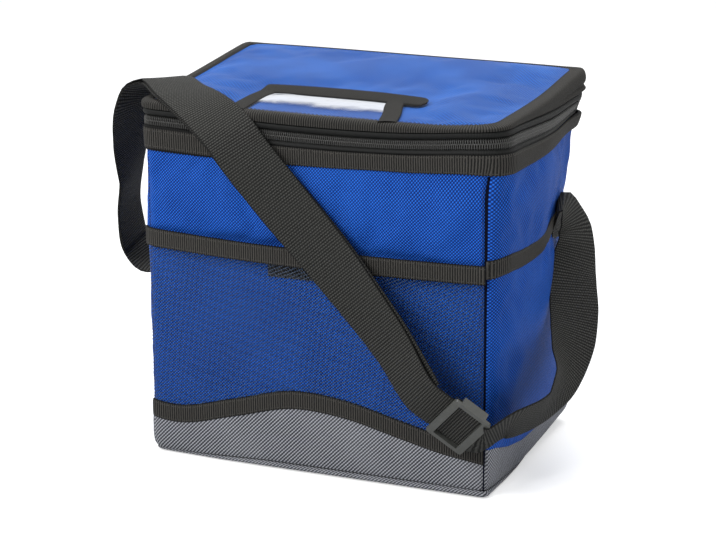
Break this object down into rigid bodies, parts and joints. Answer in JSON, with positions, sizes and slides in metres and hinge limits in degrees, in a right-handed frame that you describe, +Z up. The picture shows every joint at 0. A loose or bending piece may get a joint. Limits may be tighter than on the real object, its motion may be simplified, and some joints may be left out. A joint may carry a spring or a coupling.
{
  "type": "vaccine carrier",
  "caption": "Soft-sided insulated cool bag with a zipped hinged lid, mesh front pocket, clear document pocket and a shoulder strap with a slide adjuster.",
  "frame": {"origin": "middle of the bag's underside, where it stands", "axes": "+X to the bag's right as seen from the front, +Y to the rear, +Z up; the mesh pocket is on the -Y side"},
  "size_m": [0.373, 0.2236, 0.2777],
  "materials": {
    "blue_nylon": "coated nylon, plain weave",
    "grey_nylon": "coated nylon, coarse weave",
    "grosgrain": "ribbed polyester ribbon",
    "pocket_mesh": "open knitted mesh",
    "patch": "short nap",
    "foam": "closed-cell foam",
    "board": "plain sheet",
    "liner": "smooth welded film",
    "clear_film": "clear film",
    "zipper_tape": "woven tape",
    "zipper_coil": "satin nylon coil",
    "zipper_metal": "black lacquer",
    "webbing": "ribbed webbing",
    "adjuster_plastic": "moulded, satin"
  },
  "bodies": {
    "bag": {"base_board": "board", "base_foam": "foam", "base_panel": "grey_nylon", "base_piping": "grey_nylon", "front_foam": "foam", "front_panel": "blue_nylon", "hinge_strip_lower": "zipper_tape", "left_foam": "foam", "left_panel": "blue_nylon", "liner": "liner", "pocket_band": "grosgrain", "pocket_mesh": "pocket_mesh", "pocket_patch": "patch", "rear_foam": "foam", "rear_panel": "blue_nylon", "right_foam": "foam", "right_panel": "blue_nylon", "rim_band": "grosgrain", "side_band_left": "grosgrain", "side_band_right": "grosgrain", "skirt_front": "grey_nylon", "skirt_left": "grey_nylon", "skirt_rear": "grey_nylon", "skirt_right": "grey_nylon", "strap_front": "webbing", "strap_left": "webbing", "strap_over_lid": "webbing", "strap_return_front": "webbing", "strap_return_left": "webbing", "strap_return_over_lid": "webbing", "strap_right": "webbing", "wave_band": "grosgrain", "zipper_coil_lower": "zipper_coil", "zipper_tape_lower": "zipper_tape"},
    "lid": {"lid_top_panel": "blue_nylon", "lid_foam": "foam", "lid_liner": "liner", "lid_binding": "grosgrain", "hinge_strip_upper": "zipper_tape", "zipper_tape_upper": "zipper_tape", "zipper_coil_upper": "zipper_coil", "document_film": "clear_film", "document_band_rear": "grosgrain", "document_band_left": "grosgrain", "document_band_right": "grosgrain"},
    "slider": {"zipper_slider": "zipper_metal"},
    "pull": {"zipper_pull": "zipper_metal"},
    "adjuster": {"strap_adjuster": "adjuster_plastic", "strap_end": "webbing"}
  },
  "joints": [
    {"name": "lid_hinge", "type": "hinge", "parent": "bag", "child": "lid", "pos_m": [0, 0.0946, 0.2485], "axis": [-1, 0, 0], "range_deg": [0, 180], "deforming": ["strap_over_lid", "strap_return_over_lid"]},
    {"name": "slider_travel", "type": "slide", "parent": "bag", "child": "slider", "axis": [0, -1, 0], "range_m": [0, 0.145]},
    {"name": "pull_hinge", "type": "hinge", "parent": "slider", "child": "pull", "pos_m": [-0.1359, 0.07, 0.2485], "axis": [0, 0, -1], "range_deg": [0, 170]},
    {"name": "adjuster_slide", "type": "slide", "parent": "bag", "child": "adjuster", "axis": [-0.7618, -0.2406, 0.6014], "range_m": [0, 0.015]}
  ]
}
